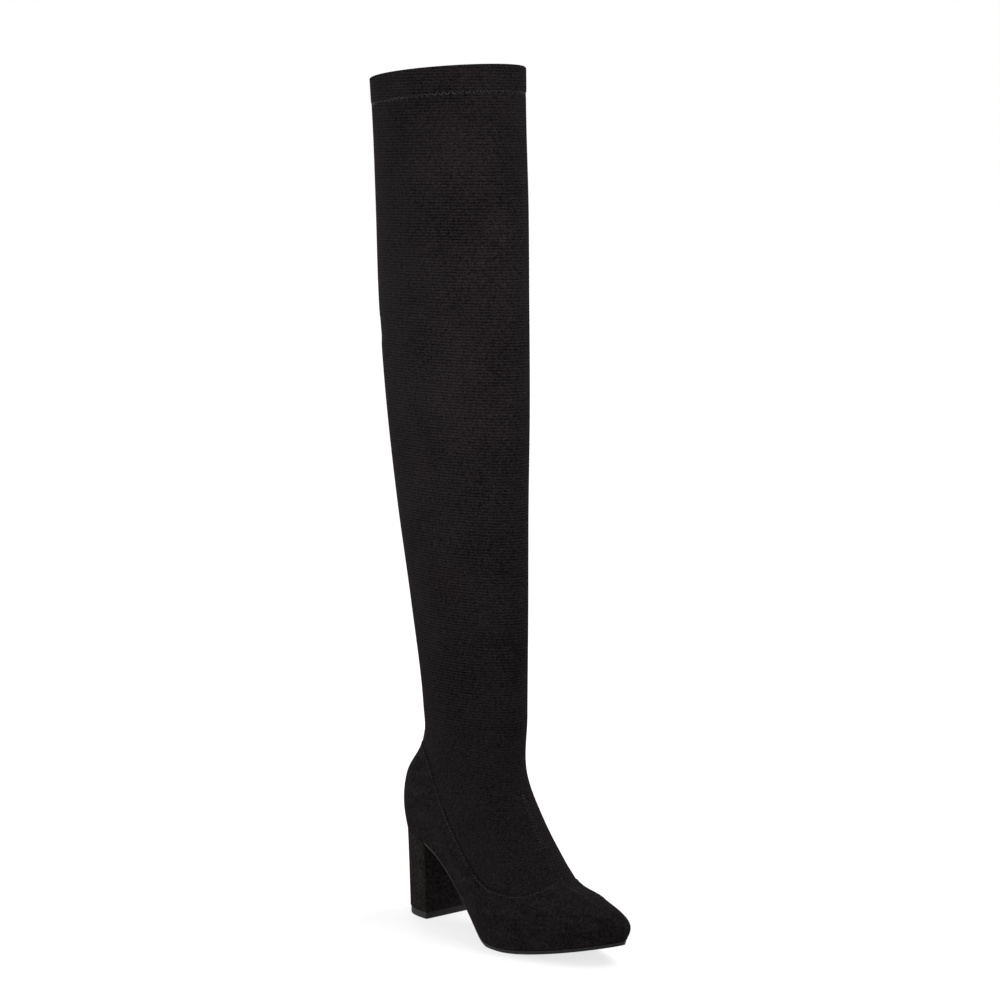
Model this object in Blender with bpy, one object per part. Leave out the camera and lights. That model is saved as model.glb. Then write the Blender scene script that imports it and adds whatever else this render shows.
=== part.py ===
"""Thigh high stretch boot with a pointed toe and a covered block heel.

One right boot, empty and standing on its sole. The toe points along -Y and the wearer's right is -X.
The origin is the centre of the heel's bottom, on the floor.
"""

import collections
import math

import bpy
import numpy as np

# Clearance between pieces that meet
FIT = 0.0003

# Foot
FOOT_LENGTH = 0.2415
BALL_WIDTH = 0.082
HEEL_HEIGHT = 0.0725
HEEL_SET_BACK = 0.0223
COUNTER_HEIGHT = 0.0741
SEAT_SLOPE = 0.08
BREAST_SLOPE = 0.30
TOE_SPRING = 0.0165
TOE_CURVE = 1.45

# Upper
UPPER_WALL = 0.0020
LASTED_MARGIN = 0.009
FEATHER_EDGE = 0.0012
SEAM_STEP = 0.0008
SEAM_BLEND = 0.016
HEEL_GIRTH_RISE = 0.0165
TOE_GIRTH_RISE = 0.0055
GIRTH_BULGE = 0.0024
COUNTER_FULLNESS = 0.088
VAMP_FULLNESS = 0.085

# Shaft
BOOT_HEIGHT = 0.6780
SHAFT_DEPTH = 0.160
SHAFT_WIDTH = 0.1075
SHAFT_WALL = 0.0015
HEM_HEIGHT = 0.021
HEM_FOLD = 0.0011
RIM_TILT = math.radians(4)
ANKLE_HEIGHT = 0.141
ANKLE_TILT = 0.0165
INSTEP_HOLLOW = 0.0034
INSTEP_FALL = 0.0060

# Sole and insole
SOLE_THICKNESS = 0.0030
SHANK_THICKNESS = 0.0022
SOLE_INSET = 0.0009
SOLE_STEP = 0.0006
INSOLE_THICKNESS = 0.0022

# Heel
HEEL_DEPTH = 0.0345
HEEL_WIDTH = 0.045
HEEL_INSET = 0.0004
HEEL_CORNER = 0.0018
HEEL_SQUARENESS = 2.6
HEEL_FLARE_SHARE = 0.15
HEEL_FLARE_POWER = 5
TOP_LIFT_THICKNESS = 0.0057
TOP_LIFT_INSET = 0.0006

# Grid: points round each loop, and steps between one level and the next
COLUMNS = 64
HEEL_POINTS = 24
FOOT_SPLITS = (3, 3, 3)
INSTEP_SPLITS = (2, 2, 2)
LEG_SPLITS = (1, 2, 2, 2, 2, 2, 2, 1)
WAIST_STEPS = 12
TREAD_STEPS = 2
TOE_STEPS = 14
CORNER_STEPS = 3
TURN_SAMPLES = 400

# Stations are shares of FOOT_LENGTH from the counter's back to the toe, and sides shares of BALL_WIDTH.
# The sole is thin up to the shank's end, thickens over its fade, and is flat from tread to tread.
SoleStations = collections.namedtuple("SoleStations", "shank_end shank_fade tread_start tread_end")
SOLE = SoleStations(0.400, 0.150, 0.560, 0.622)
# The line along the middle of the foot that insets move towards
FootSpine = collections.namedtuple("FootSpine", "start end end_side")
SPINE = FootSpine(0.115, 0.895, 0.060)

SoleLoop = collections.namedtuple("SoleLoop", "step depth")
# Loops of the sole's edge from its underside up: shares of SOLE_STEP inwards and of the sole's thickness
SOLE_LOOPS = (SoleLoop(1, 1.00), SoleLoop(1, 0.55), SoleLoop(0, 0.45), SoleLoop(0, 0.00))
# Levels of the heel between its foot and its seat
HEEL_LEVELS = (0, 0.20, 0.40, 0.60, 0.75, 0.88, 0.95, 1)

FootSection = collections.namedtuple(
    "FootSection", "feather_station feather_side seam_station seam_side seam_rise"
)
# Sixteen even steps round the foot, from the heel's back over the outer side to the toe and back over
# the inner side. Sides are shares of BALL_WIDTH, rises shares of COUNTER_HEIGHT above the bottom.
FOOT_SECTIONS = (
    FootSection(0.005, 0.000, 0.083, 0.000, 1.000),
    FootSection(0.024, -0.170, 0.102, -0.168, 1.015),
    FootSection(0.086, -0.288, 0.162, -0.276, 0.975),
    FootSection(0.183, -0.320, 0.262, -0.357, 0.770),
    FootSection(0.309, -0.323, 0.358, -0.386, 0.648),
    FootSection(0.451, -0.395, 0.452, -0.390, 0.572),
    FootSection(0.584, -0.495, 0.562, -0.405, 0.567),
    FootSection(0.806, -0.341, 0.678, -0.317, 0.567),
    FootSection(0.994, 0.098, 0.729, 0.024, 0.657),
    FootSection(0.813, 0.338, 0.674, 0.354, 0.610),
    FootSection(0.605, 0.446, 0.565, 0.427, 0.577),
    FootSection(0.451, 0.335, 0.460, 0.420, 0.572),
    FootSection(0.309, 0.270, 0.360, 0.402, 0.648),
    FootSection(0.183, 0.300, 0.260, 0.366, 0.755),
    FootSection(0.086, 0.288, 0.166, 0.262, 0.925),
    FootSection(0.024, 0.170, 0.106, 0.157, 0.995),
)

ShaftRing = collections.namedtuple("ShaftRing", "height centre side depth width")
# Rings from the ankle to the rim. Heights are shares of the leg above ANKLE_HEIGHT, centres and depths
# shares of SHAFT_DEPTH, sides and widths shares of SHAFT_WIDTH.
SHAFT_RINGS = (
    ShaftRing(0.000, -0.328, 0.000, 0.658, 0.557),
    ShaftRing(0.062, -0.324, 0.000, 0.664, 0.569),
    ShaftRing(0.215, -0.286, -0.008, 0.765, 0.599),
    ShaftRing(0.368, -0.242, -0.021, 0.877, 0.634),
    ShaftRing(0.517, -0.209, -0.028, 0.969, 0.668),
    ShaftRing(0.667, -0.180, -0.028, 1.000, 0.728),
    ShaftRing(0.814, -0.158, -0.016, 0.974, 0.816),
    ShaftRing(0.930, -0.132, -0.004, 0.916, 0.925),
    ShaftRing(1.000, -0.119, 0.000, 0.882, 1.000),
)
# The way the hollow of the instep goes in, and how much of the outer side's fall towards the middle is
# left at each ring above the seam
HOLLOW_WAY = (0.0, 0.8, -0.6)
INSTEP_FALL_SHARES = (1.0, 0.75, 0.25)


def smooth(share):
    share = np.clip(share, 0, 1)
    return share * share * (3 - 2 * share)


def station_y(station):
    return HEEL_SET_BACK - station * FOOT_LENGTH


def station_of(y):
    return (HEEL_SET_BACK - y) / FOOT_LENGTH


def breast_y():
    return -HEEL_DEPTH / 2


def bottom(y):
    """Height of the upper's underside: a sloping seat, a waist, a flat tread and the toe spring."""
    y = np.asarray(y, float)
    tread = SOLE_THICKNESS + FIT
    start, end = breast_y(), station_y(SOLE.tread_start)
    seat_length = station_y(0) - start
    ahead = np.clip((station_y(0) - y) / seat_length, 0, 1)
    seat = HEEL_HEIGHT - seat_length * (SEAT_SLOPE * ahead + (BREAST_SLOPE - SEAT_SLOPE) * ahead**2 / 2)
    fall = HEEL_HEIGHT - seat_length * (SEAT_SLOPE + BREAST_SLOPE) / 2
    t = np.clip((start - y) / (start - end), 0, 1)
    leaving = -BREAST_SLOPE * (start - end)
    waist = (
        (2 * t**3 - 3 * t**2 + 1) * fall
        + (t**3 - 2 * t**2 + t) * leaving
        + (3 * t**2 - 2 * t**3) * tread
    )
    past = np.clip((station_of(y) - SOLE.tread_end) / (1 - SOLE.tread_end), 0, None)
    return np.where(y > start, seat, waist + TOE_SPRING * past**TOE_CURVE)


def closed_spline(keys, turns):
    """A smooth closed curve through evenly spaced keys, read at these shares of a turn."""
    keys = np.asarray(keys, float)
    count = len(keys)
    ahead, behind = np.roll(keys, -1, 0), np.roll(keys, 1, 0)
    matrix = 4 * np.eye(count) + np.roll(np.eye(count), 1, 0) + np.roll(np.eye(count), -1, 0)
    bends = np.linalg.solve(matrix, 6 * (ahead - 2 * keys + behind))
    place = np.mod(turns, 1) * count
    first = np.floor(place).astype(int) % count
    second = (first + 1) % count
    t = (place - np.floor(place))[:, None]
    s = 1 - t
    return (
        s * keys[first]
        + t * keys[second]
        + ((s**3 - s) * bends[first] + (t**3 - t) * bends[second]) / 6
    )


def around():
    return np.arange(COLUMNS) / COLUMNS


def outline(turns, inset=0.0):
    """The feather line seen from above, moved towards the foot's middle by the inset."""
    keys = [
        (section.feather_side * BALL_WIDTH, station_y(section.feather_station))
        for section in FOOT_SECTIONS
    ]
    edge = closed_spline(keys, turns)
    return edge + inset * inward(edge)


def inward(edge):
    start = np.array((0.0, station_y(SPINE.start)))
    end = np.array((SPINE.end_side * BALL_WIDTH, station_y(SPINE.end)))
    along = np.clip((edge - start) @ (end - start) / ((end - start) @ (end - start)), 0, 1)
    way = start + along[:, None] * (end - start) - edge
    return way / np.linalg.norm(way, axis=1)[:, None]


def raised(plan, rise=0.0):
    """Points of a plan outline at this height above the foot's bottom."""
    return np.column_stack((plan, bottom(plan[:, 1]) + rise))


def unit(vectors):
    return vectors / np.linalg.norm(vectors, axis=-1, keepdims=True)


def foot_levels():
    """Feather, girth, crown and seam loops of the foot."""
    turns = around()
    feather = raised(outline(turns), FEATHER_EDGE)
    out = np.column_stack((-inward(outline(turns)), np.zeros(COLUMNS)))
    up = np.array((0.0, 0.0, 1.0))
    share = station_of(feather[:, 1])[:, None]
    rise = HEEL_GIRTH_RISE + (TOE_GIRTH_RISE - HEEL_GIRTH_RISE) * share
    girth = feather + GIRTH_BULGE * out + rise * up
    keys = [
        (section.seam_side * BALL_WIDTH, station_y(section.seam_station), section.seam_rise)
        for section in FOOT_SECTIONS
    ]
    seam = closed_spline(keys, turns)
    seam[:, 2] = bottom(seam[:, 1]) + seam[:, 2] * COUNTER_HEIGHT
    chord = seam - girth
    along = unit(chord)
    lean = out + up
    bulge = unit(lean - (lean * along).sum(1)[:, None] * along)
    fullness = COUNTER_FULLNESS + (VAMP_FULLNESS - COUNTER_FULLNESS) * smooth(2 * share - 1)
    crown = (girth + seam) / 2 + fullness * np.linalg.norm(chord, axis=1)[:, None] * bulge
    return [feather, girth, crown, seam]


def shaft_ring(ring):
    angle = 2 * math.pi * around()
    leg = BOOT_HEIGHT - ANKLE_HEIGHT
    x = ring.side * SHAFT_WIDTH - ring.width * SHAFT_WIDTH / 2 * np.sin(angle)
    y = ring.centre * SHAFT_DEPTH + ring.depth * SHAFT_DEPTH / 2 * np.cos(angle)
    z = ANKLE_HEIGHT + ring.height * leg + np.zeros(COLUMNS)
    if ring.height == 0:
        z = z + ANKLE_TILT * np.cos(angle)
    if ring.height == 1:
        z = z - math.tan(RIM_TILT) * (y - ring.centre * SHAFT_DEPTH)
    return np.column_stack((x, y, z))


def skin_levels():
    """Loops of the whole boot's outside, from the feather to the rim."""
    foot = foot_levels()
    rings = [shaft_ring(ring) for ring in SHAFT_RINGS]
    angle = 2 * math.pi * around()[:, None]
    front = (1 - np.cos(angle)) / 2
    hollow = np.array(HOLLOW_WAY) * INSTEP_HOLLOW * front**2
    between = [foot[-1] + share * (rings[0] - foot[-1]) + hollow for share in (1 / 3, 2 / 3)]
    fall = np.array((1.0, 0.0, 0.0)) * INSTEP_FALL * front * np.clip(np.sin(angle), 0, None)
    for level, share in zip((*between, rings[0]), INSTEP_FALL_SHARES):
        level += share * fall
    return foot, between + rings


def flow(levels, splits):
    """Rows of a smooth surface through the levels, with this many steps from each to the next."""
    points = np.stack(levels)
    steps = np.diff(points, axis=0)
    lengths = np.linalg.norm(steps, axis=2, keepdims=True)
    slopes = steps / lengths
    inner = (lengths[1:] * slopes[:-1] + lengths[:-1] * slopes[1:]) / (lengths[1:] + lengths[:-1])
    first = 1.5 * slopes[:1] - 0.5 * inner[:1]
    last = 1.5 * slopes[-1:] - 0.5 * inner[-1:]
    tangents = np.concatenate((first, inner, last))
    rows = []
    for index, count in enumerate(splits):
        for t in np.arange(count) / count:
            rows.append(
                (2 * t**3 - 3 * t**2 + 1) * points[index]
                + (t**3 - 2 * t**2 + t) * lengths[index] * tangents[index]
                + (3 * t**2 - 2 * t**3) * points[index + 1]
                + (t**3 - t**2) * lengths[index] * tangents[index + 1]
            )
    rows.append(points[-1])
    return np.stack(rows)


def outward_normals(rows):
    round_way = np.roll(rows, -1, 1) - np.roll(rows, 1, 1)
    return unit(np.cross(round_way, np.gradient(rows, axis=0)))


def skin():
    """Rows of the outside, their normals, and the row that the seam follows."""
    foot, shaft = skin_levels()
    rows = flow(foot + shaft, FOOT_SPLITS + INSTEP_SPLITS + LEG_SPLITS)
    return rows, outward_normals(rows), sum(FOOT_SPLITS)


def seam_tangent(rows, seam):
    return unit(rows[seam + 1] - rows[seam - 1])


def material(name, colour, roughness):
    made = bpy.data.materials.new(name)
    made.use_nodes = True
    shader = made.node_tree.nodes["Principled BSDF"]
    shader.inputs["Base Color"].default_value = (*colour, 1)
    shader.inputs["Roughness"].default_value = roughness
    shader.inputs["Metallic"].default_value = 0
    return made


def add_piece(name, points, faces, colour, roughness):
    mesh = bpy.data.meshes.new(name)
    mesh.from_pydata([tuple(point) for point in points], [], faces)
    mesh.validate()
    mesh.materials.append(material(name, colour, roughness))
    mesh.shade_smooth()
    mesh.set_sharp_from_angle(angle=math.radians(40))
    piece = bpy.data.objects.new(name, mesh)
    bpy.context.scene.collection.objects.link(piece)
    return piece


def ring_faces(first, second, count):
    """Quads from the ring of points that starts at one index to the ring that starts at another."""
    faces = []
    for k in range(count):
        after = (k + 1) % count
        faces.append((first + k, first + after, second + after, second + k))
    return faces


def add_shell(name, outer, inner, colour, roughness):
    """A hollow tube with a wall, from rows of its outside and of its inside, both from the bottom up."""
    loops = list(outer) + list(inner)[::-1]
    faces = []
    for row in range(len(loops)):
        faces += ring_faces(row * COLUMNS, (row + 1) % len(loops) * COLUMNS, COLUMNS)
    return add_piece(name, np.concatenate(loops), faces, colour, roughness)


def cap_faces(start, count, ends_at_breast=False):
    """Strips across a ring from each point to its opposite, so that the cap follows the foot's curve."""
    last = count - 1 if ends_at_breast else count
    faces = []
    for k in range((last + 1) // 2):
        strip = [start + point % count for point in (k, k + 1, last - k - 1, last - k)]
        strip = tuple(dict.fromkeys(strip))
        if len(strip) > 2:
            faces.append(strip)
    return faces


def turned(faces):
    return [face[::-1] for face in faces]


def solid_faces(rows, count, ends_at_breast=False):
    """A closed body from rings that run anticlockwise, seen from above, from the lowest to the top."""
    faces = turned(cap_faces(0, count, ends_at_breast))
    for row in range(rows - 1):
        faces += ring_faces(row * count, (row + 1) * count, count)
    return faces + cap_faces((rows - 1) * count, count, ends_at_breast)


def make_upper(rows, normals, seam):
    turns = around()
    outside = [raised(outline(turns, inset)) for inset in (LASTED_MARGIN, FEATHER_EDGE)]
    outside += list(rows[: seam + 1])
    inside = [
        raised(outline(turns, LASTED_MARGIN), UPPER_WALL),
        raised(outline(turns, UPPER_WALL + FEATHER_EDGE), UPPER_WALL),
        raised(outline(turns, UPPER_WALL), UPPER_WALL + FEATHER_EDGE / 2),
    ]
    inside += list(rows[1 : seam + 1] - UPPER_WALL * normals[1 : seam + 1])
    back = FIT / 2 * seam_tangent(rows, seam)
    outside[-1] = outside[-1] - back
    inside[-1] = inside[-1] - back
    return add_shell("upper", outside, inside, (0.0103, 0.0091, 0.0097), 0.95)


def make_shaft(rows, normals, seam):
    """The stretch tube, a little below the foot panel's face at the seam, with a folded hem."""
    leg, out = rows[seam:].copy(), normals[seam:]
    from_seam = np.linalg.norm(leg - leg[0], axis=2, keepdims=True)
    leg -= SEAM_STEP * (1 - smooth(from_seam / SEAM_BLEND)) * out
    leg[0] = leg[0] + FIT / 2 * seam_tangent(rows, seam)
    rim, rim_out = leg[-1], out[-1]
    hem = rim + HEM_HEIGHT * unit(leg[-2] - rim)
    folded = SHAFT_WALL + HEM_FOLD
    outside = [*leg[:-1], hem, rim]
    inside = [*(leg[:-1] - SHAFT_WALL * out[:-1]), hem - SHAFT_WALL * rim_out]
    inside += [hem - folded * rim_out, rim - folded * rim_out]
    return add_shell("shaft", outside, inside, (0.0152, 0.0137, 0.0144), 0.9)


def toe_turn():
    """The share of a turn at which the feather line is furthest forward."""
    turns = np.linspace(0.45, 0.55, TURN_SAMPLES + 1)
    return turns[np.argmin(outline(turns)[:, 1])]


def turn_at(y, side):
    """Where the feather line crosses this y on its outer side (1) or its inner side (-1)."""
    turns = np.linspace(0 if side > 0 else 1, toe_turn(), TURN_SAMPLES)
    return np.interp(-np.asarray(y), -outline(turns)[:, 1], turns)


def make_insole():
    turns = around()
    edge = UPPER_WALL + FEATHER_EDGE
    under = UPPER_WALL + FIT
    loops = [
        raised(outline(turns, LASTED_MARGIN + FIT), FIT / 2),
        raised(outline(turns, LASTED_MARGIN + FIT), under),
        raised(outline(turns, edge), under),
        raised(outline(turns, edge), under + INSOLE_THICKNESS),
    ]
    faces = solid_faces(len(loops), COLUMNS)
    return add_piece("insole", np.concatenate(loops), faces, (0.045, 0.040, 0.038), 0.8)


def sole_plan(inset):
    """The sole's outline from the breast round the toe and back, with points in pairs across it."""
    start, end = station_y(SOLE.tread_start), station_y(SOLE.tread_end)
    toe = outline(np.array([toe_turn()]))[0, 1]
    rounding = np.sin(np.linspace(0, math.pi / 2, TOE_STEPS + 1))
    stations = np.concatenate(
        (
            np.linspace(breast_y() - FIT, start, WAIST_STEPS + 1),
            np.linspace(start, end, TREAD_STEPS + 1)[1:],
            (end + (toe - end) * rounding)[1:],
        )
    )
    turns = np.concatenate((turn_at(stations, 1), turn_at(stations[-2::-1], -1)))
    plan = outline(turns, inset)
    plan[:, 1] = np.minimum(plan[:, 1], breast_y() - FIT)
    return plan


def make_outsole():
    """The sole, thinner at the waist, with a small step round its edge."""
    top = sole_plan(SOLE_INSET)
    thin = 1 - smooth((station_of(top[:, 1]) - SOLE.shank_end) / SOLE.shank_fade)
    thickness = SOLE_THICKNESS + (SHANK_THICKNESS - SOLE_THICKNESS) * thin
    loops = [
        raised(sole_plan(SOLE_INSET + loop.step * SOLE_STEP), -FIT - loop.depth * thickness)
        for loop in SOLE_LOOPS
    ]
    faces = solid_faces(len(loops), len(top), ends_at_breast=True)
    return add_piece("outsole", np.concatenate(loops), faces, (0.024, 0.022, 0.022), 0.45)


def softened(ring, radius):
    """A heel outline with its two breast corners rounded."""

    def corner(point, after, before):
        along = point + radius * unit(after - point)
        across = point + radius * unit(before - point)
        return [
            (1 - t) ** 2 * across + 2 * t * (1 - t) * point + t**2 * along
            for t in np.linspace(0, 1, CORNER_STEPS + 1)
        ]

    start = corner(ring[0], ring[1], ring[-1])
    end = corner(ring[-1], ring[0], ring[-2])
    return np.array(start + list(ring[1:-1]) + end)


def heel_seat():
    turns = np.linspace(turn_at(breast_y(), 1), turn_at(breast_y(), -1) - 1, HEEL_POINTS)
    plan = outline(turns, HEEL_INSET)
    plan[:, 1] = np.maximum(plan[:, 1], breast_y())
    return softened(plan, HEEL_CORNER)


def heel_foot(inset=0.0):
    """The heel's bottom outline: flat at the breast, rounded at the back."""
    angle = np.linspace(math.pi / 2, -math.pi / 2, HEEL_POINTS)
    across = np.sign(np.sin(angle)) * np.abs(np.sin(angle)) ** (2 / HEEL_SQUARENESS)
    back = np.abs(np.cos(angle)) ** (2 / HEEL_SQUARENESS)
    half, depth = HEEL_WIDTH / 2 - inset, HEEL_DEPTH - 2 * inset
    plan = np.column_stack((-half * across, breast_y() + inset + depth * back))
    return softened(plan, HEEL_CORNER)


def make_heel():
    """The block, flaring to the seat near its top."""
    low, top = heel_foot(), heel_seat()
    base = TOP_LIFT_THICKNESS + FIT
    height = bottom(top[:, 1]) - FIT
    loops = []
    for level in HEEL_LEVELS:
        flare = level + HEEL_FLARE_SHARE * (level**HEEL_FLARE_POWER - level)
        plan = low + flare * (top - low)
        loops.append(np.column_stack((plan, base + level * (height - base))))
    faces = turned(solid_faces(len(loops), len(low), ends_at_breast=True))
    return add_piece("heel", np.concatenate(loops), faces, (0.0152, 0.0130, 0.0130), 0.92)


def make_top_lift():
    plan = heel_foot(TOP_LIFT_INSET)
    loops = [
        np.column_stack((plan, np.full(len(plan), height))) for height in (0, TOP_LIFT_THICKNESS)
    ]
    faces = turned(solid_faces(2, len(plan), ends_at_breast=True))
    return add_piece("top_lift", np.concatenate(loops), faces, (0.014, 0.011, 0.011), 0.6)


def main():
    for old in list(bpy.data.objects):
        bpy.data.objects.remove(old, do_unlink=True)
    rows, normals, seam = skin()
    make_upper(rows, normals, seam)
    make_shaft(rows, normals, seam)
    make_insole()
    make_outsole()
    make_heel()
    make_top_lift()


main()
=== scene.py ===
"""Thigh high stretch boot with a pointed toe and a covered block heel: visible pieces, finishes, light.

The skin of foot and leg is drawn from the same sizes and tables as the solid model, on a finer grid.
Along each loop a turn runs from the back (0) over the outer side (0.25) and the toe (0.5) back again.
"""

import collections
import math

import bpy
import numpy as np
from mathutils import Euler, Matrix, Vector


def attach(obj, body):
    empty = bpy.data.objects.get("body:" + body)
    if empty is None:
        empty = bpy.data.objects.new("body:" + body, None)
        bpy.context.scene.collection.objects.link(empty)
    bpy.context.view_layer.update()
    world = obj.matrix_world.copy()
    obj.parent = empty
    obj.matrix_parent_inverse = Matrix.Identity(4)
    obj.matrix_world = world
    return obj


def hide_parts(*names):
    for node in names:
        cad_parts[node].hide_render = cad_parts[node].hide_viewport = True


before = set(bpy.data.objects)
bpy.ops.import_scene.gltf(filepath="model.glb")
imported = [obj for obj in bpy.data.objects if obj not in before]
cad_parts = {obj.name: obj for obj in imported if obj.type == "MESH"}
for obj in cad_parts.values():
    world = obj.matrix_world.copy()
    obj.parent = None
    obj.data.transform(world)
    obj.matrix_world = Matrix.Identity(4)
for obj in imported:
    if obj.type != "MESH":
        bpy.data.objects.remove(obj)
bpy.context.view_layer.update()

# Clearance between pieces that meet
FIT = 0.0003

# Foot
FOOT_LENGTH = 0.2415
BALL_WIDTH = 0.082
HEEL_HEIGHT = 0.0725
HEEL_SET_BACK = 0.0223
COUNTER_HEIGHT = 0.0741
SEAT_SLOPE = 0.08
BREAST_SLOPE = 0.30
TOE_SPRING = 0.0165
TOE_CURVE = 1.45

# Foot panel
PANEL_WALL = 0.0020
LASTED_MARGIN = 0.009
FEATHER_EDGE = 0.0012
SEAM_STEP = 0.0008
SEAM_BLEND = 0.016
HEEL_GIRTH_RISE = 0.0165
TOE_GIRTH_RISE = 0.0055
GIRTH_BULGE = 0.0024
COUNTER_FULLNESS = 0.088
VAMP_FULLNESS = 0.085

# Shaft
BOOT_HEIGHT = 0.6780
SHAFT_DEPTH = 0.160
SHAFT_WIDTH = 0.1075
SHAFT_WALL = 0.0015
HEM_HEIGHT = 0.021
HEM_FOLD = 0.0011
RIM_TILT = math.radians(4)
ANKLE_HEIGHT = 0.141
ANKLE_TILT = 0.0165
INSTEP_HOLLOW = 0.0034
INSTEP_FALL = 0.0060
HOLLOW_WAY = (0.0, 0.8, -0.6)
INSTEP_FALL_SHARES = (1.0, 0.75, 0.25)

# Sole and insole
SOLE_THICKNESS = 0.0030
SHANK_THICKNESS = 0.0022
SOLE_INSET = 0.0009
INSOLE_THICKNESS = 0.0022
INSOLE_ROUNDING = 0.0012

# Heel
HEEL_DEPTH = 0.0345
HEEL_WIDTH = 0.045
HEEL_INSET = 0.0004
HEEL_CORNER = 0.0018
HEEL_TUCK = 0.0006
HEEL_SQUARENESS = 2.6
HEEL_FLARE_SHARE = 0.15
HEEL_FLARE_POWER = 5
TOP_LIFT_THICKNESS = 0.0057
TOP_LIFT_INSET = 0.0006

# Grid of the visible pieces
COLUMNS = 192
HEEL_POINTS = 60
FOOT_SPLITS = (10, 14, 16)
INSTEP_SPLITS = (7, 7, 7)
LEG_SPLITS = (14, 30, 30, 30, 30, 30, 26, 24)
LINING_STEP = 3
EDGE_STEPS = 6

# Stitching
THREAD = 0.00042
HEM_STITCH_WAY = 0.0027
HEM_STITCH_RISE = 0.0032
BACK_STITCH_WAY = 0.0021
BACK_STITCH_RISE = 0.0026
BACK_ROW_START, BACK_ROW_END = 0.146, 0.655
SEAM_STITCH = 0.0030
SEAM_STITCH_SHARE = 0.72
SEAM_STITCH_IN = 0.0022
FINE_STITCH = 0.0026
FINE_STITCH_SHARE = 0.7
FRONT_ROW_TURN = 0.0036
FRONT_ROW_START, FRONT_ROW_END = 0.0475, 0.116

# Surface relief
HEM_PROUD = 0.0004
HEM_FADE = 0.0015
HEM_DENT, HEM_DENT_WIDTH = 0.00035, 0.0014
BACK_SEAM_HALF, BACK_SEAM_RISE = 0.0024, 0.00045
COUNTER_SEAM_HALF, COUNTER_SEAM_RISE = 0.0020, 0.0006
FRONT_RIDGE_RISE, FRONT_RIDGE_WIDTH = 0.0012, 0.0045
FRONT_RIDGE_TOP, FRONT_RIDGE_FADE = 0.128, 0.02
TOE_RIDGE_RISE, TOE_RIDGE_WIDTH = 0.0027, 0.0075
LIP_RISE, LIP_IN, LIP_WIDTH = 0.0003, 0.0009, 0.0010
SEAM_DENT, SEAM_DENT_WIDTH = 0.0002, 0.0011
SHAFT_SINK_SHARE = 0.4
SEAM_EDGE_FULLNESS = 0.45
LEVEL_RIBS_FROM = 0.160
RIB_PITCH = 0.00233
KNIT_PITCH = 0.0016

# Colours
Dye = collections.namedtuple("Dye", "dark light")
SHAFT_DYE = Dye((0.0011, 0.0009, 0.0010), (0.0112, 0.0093, 0.0102))
FOOT_DYE = Dye((0.0020, 0.0017, 0.0018), (0.0114, 0.0099, 0.0103))
HEEL_DYE = Dye((0.0019, 0.0015, 0.0015), (0.0155, 0.0131, 0.0132))
LINING_DYE = Dye((0.010, 0.009, 0.008), (0.026, 0.022, 0.021))
SOCK_DYE = Dye((0.034, 0.030, 0.028), (0.058, 0.052, 0.049))
SOLE_DYE = Dye((0.004, 0.0034, 0.0034), (0.010, 0.0092, 0.0090))
LIFT_DYE = Dye((0.004, 0.003, 0.003), (0.010, 0.008, 0.008))
HEM_THREAD_DYE = Dye((0.006, 0.005, 0.006), (0.036, 0.032, 0.034))
SEAM_THREAD_DYE = Dye((0.004, 0.0035, 0.0038), (0.036, 0.032, 0.034))
CLOTH_GLOSS = {
    "Sheen_Weight": 0.009,
    "Sheen_Roughness": 0.5,
    "Sheen_Tint": (1.0, 0.95, 0.96, 1),
    "Specular_IOR_Level": 0.0,
}

# Studio
SKY = 1.0
FLOOR_TONE = 0.17
FLOOR_GLOW = 0.74
FLOOR_HALF = 30
FLOOR_DROP = 0.0001
TOP_LIGHT = 2.9
TOP_LIGHT_SOFTNESS = 40
TOP_LIGHT_TILT = 30
TOP_LIGHT_TURN = 49
SoftBox = collections.namedtuple("SoftBox", "name size power spread place aim")
SOFT_BOXES = (
    SoftBox("front_box", 0.40, 1.8, 32, (-1.14, -1.08, 0.64), (0.0, 0.0, 0.53)),
    SoftBox("side_box", 0.50, 1.6, 60, (-1.20, 0.35, 0.15), (0.0, 0.02, 0.06)),
    SoftBox("rear_box", 0.60, 8.0, 120, (0.90, 1.50, 0.80), (0.0, 0.05, 0.40)),
)

# Camera: lens and sensor in millimetres, place in metres, angles in degrees
CAMERA_LENS = 99.3
CAMERA_SENSOR = 36
CAMERA_PLACE = (-1.402, -1.702, 0.5975)
CAMERA_DOWN = 6.7
CAMERA_TURN = 40.88

SoleStations = collections.namedtuple("SoleStations", "shank_end shank_fade tread_start tread_end")
SOLE = SoleStations(0.400, 0.150, 0.560, 0.622)
FootSpine = collections.namedtuple("FootSpine", "start end end_side")
SPINE = FootSpine(0.115, 0.895, 0.060)

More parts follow.
